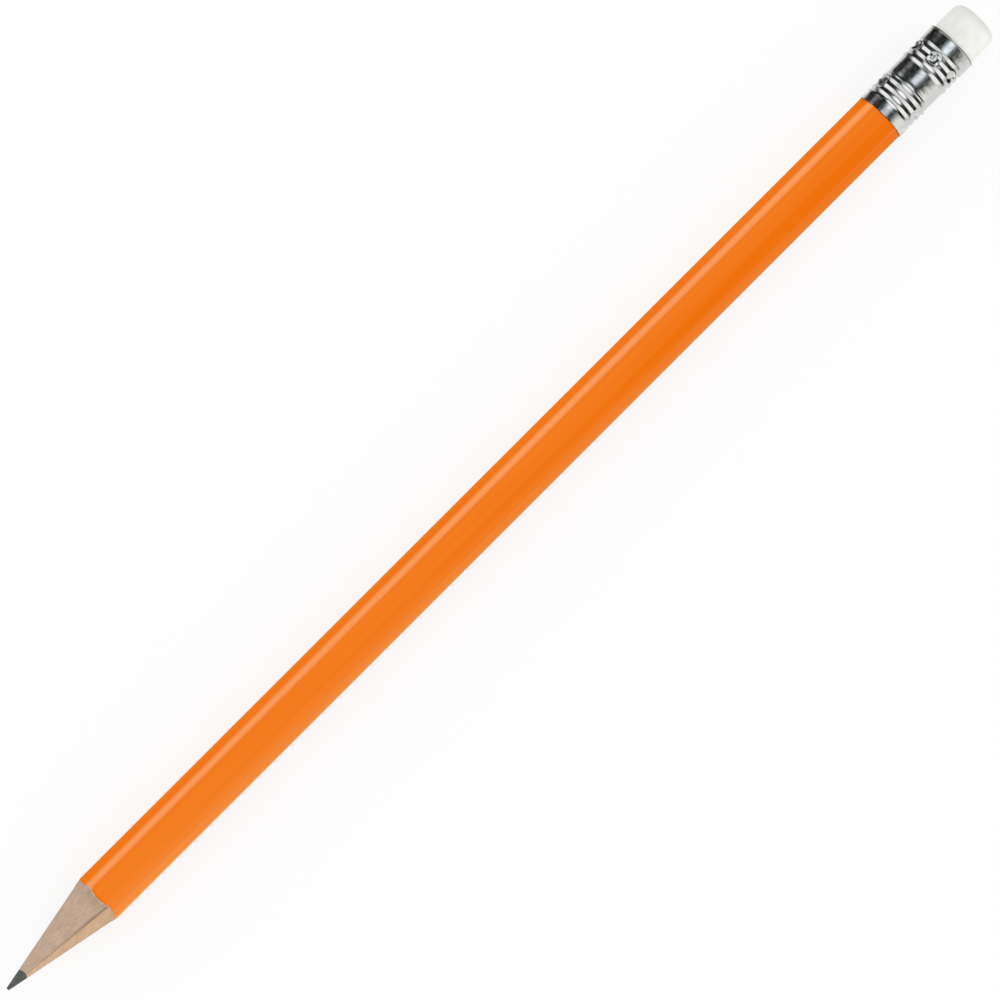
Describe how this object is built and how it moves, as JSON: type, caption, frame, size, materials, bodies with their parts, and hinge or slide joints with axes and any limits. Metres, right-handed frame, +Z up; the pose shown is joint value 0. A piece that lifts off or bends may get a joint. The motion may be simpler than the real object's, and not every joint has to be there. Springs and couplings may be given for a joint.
{
  "type": "pencil with eraser",
  "caption": "Sharpened wood-cased pencil with a soft-edged hexagonal orange shank, a graphite core, a rolled and punched metal ferrule and a white plug eraser.",
  "frame": {"origin": "on the surface that the pencil lies on, under the middle of its length and width", "axes": "+X along the pencil from its writing point to its eraser, +Z up out of its upper flat, +Y across it"},
  "size_m": [0.1886, 0.0078, 0.0078],
  "materials": {
    "graphite": "fired graphite and clay, dark grey with a dull sheen",
    "dark_wood": "bare cut wood, pinkish tan, fine grain along the pencil",
    "pale_wood": "bare cut wood, yellowish tan, fine grain along the pencil",
    "wood_glue": "dried brown glue",
    "undercoat_paint": "matte grey-white primer",
    "orange_lacquer": "glossy orange lacquer",
    "ferrule_metal": "bright rolled aluminium",
    "white_eraser": "matte white eraser"
  },
  "bodies": {
    "root": {"graphite_core": "graphite", "dark_slat": "dark_wood", "pale_slat": "pale_wood", "upper_glue_seam": "wood_glue", "lower_glue_seam": "wood_glue", "undercoat": "undercoat_paint", "colour_coat": "orange_lacquer", "ferrule": "ferrule_metal", "eraser": "white_eraser"}
  },
  "joints": []
}
